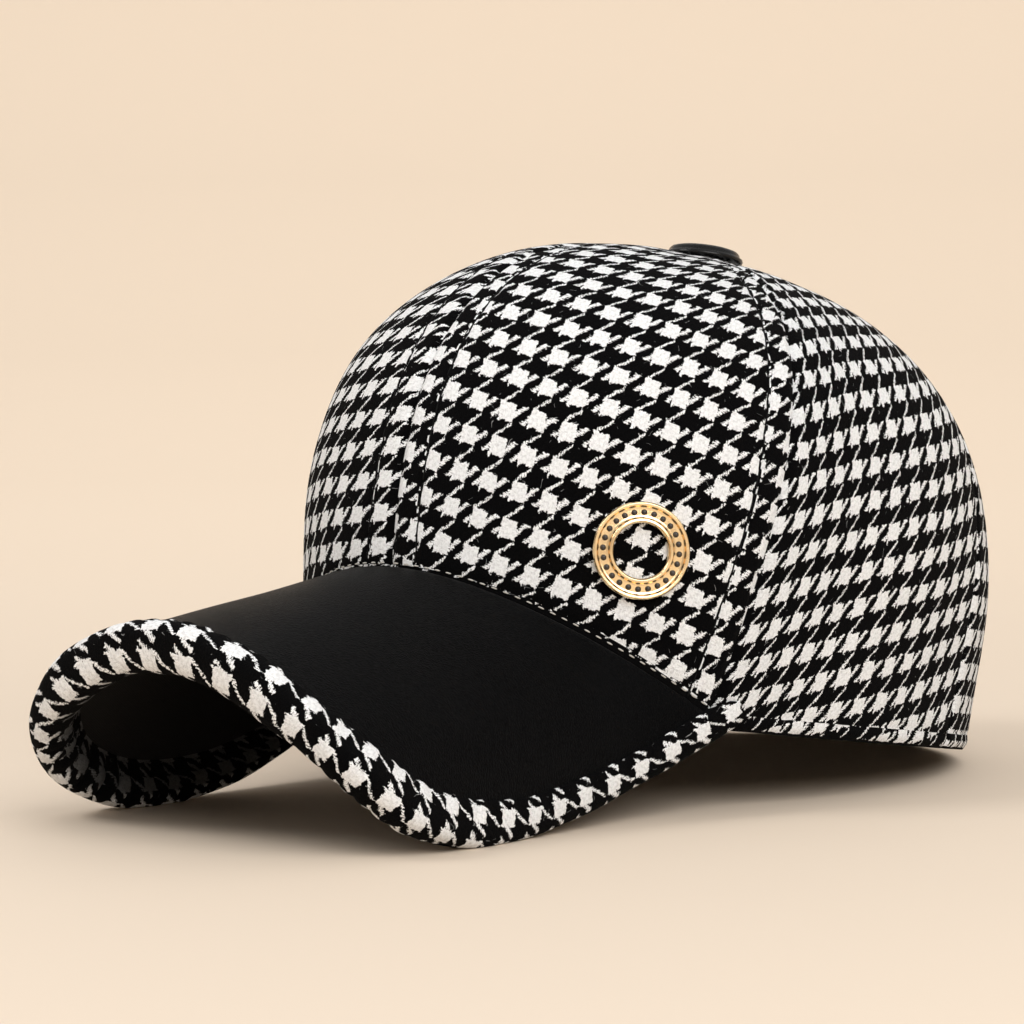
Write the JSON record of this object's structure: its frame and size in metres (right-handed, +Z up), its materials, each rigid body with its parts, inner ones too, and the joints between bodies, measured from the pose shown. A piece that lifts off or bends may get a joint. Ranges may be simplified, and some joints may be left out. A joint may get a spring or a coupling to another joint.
{
  "type": "baseball cap",
  "caption": "Six-panel baseball cap in black and white houndstooth cloth, with a curved leather-topped visor, cloth-bound edge, gloss top button and a plain gold ring ornament.",
  "frame": {"origin": "centre of the bounding box's bottom face, on the surface the cap rests on", "axes": "front of the cap (visor) towards -Y, wearer's left towards +X, +Z up; the cap is tipped back by about 8 degrees because it stands on the visor's two low points and the back of the rim"},
  "size_m": [0.1746, 0.295, 0.1483],
  "materials": {
    "houndstooth_cloth": "black and white houndstooth woollen twill, slightly fuzzy",
    "black_leather": "smooth black leather with a fine grain and a satin sheen",
    "black_underside": "plain matt black cloth over a stiff board",
    "black_gloss_button": "smooth gloss black",
    "gold_plate": "polished pale gold plating"
  },
  "bodies": {
    "root": {"panel_front_left": "houndstooth_cloth", "panel_front_right": "houndstooth_cloth", "panel_side_left": "houndstooth_cloth", "panel_side_right": "houndstooth_cloth", "panel_back_left": "houndstooth_cloth", "panel_back_right": "houndstooth_cloth", "visor_leather": "black_leather", "visor_underside": "black_underside", "visor_binding": "houndstooth_cloth", "top_button": "black_gloss_button", "badge_ring": "gold_plate"}
  },
  "joints": []
}
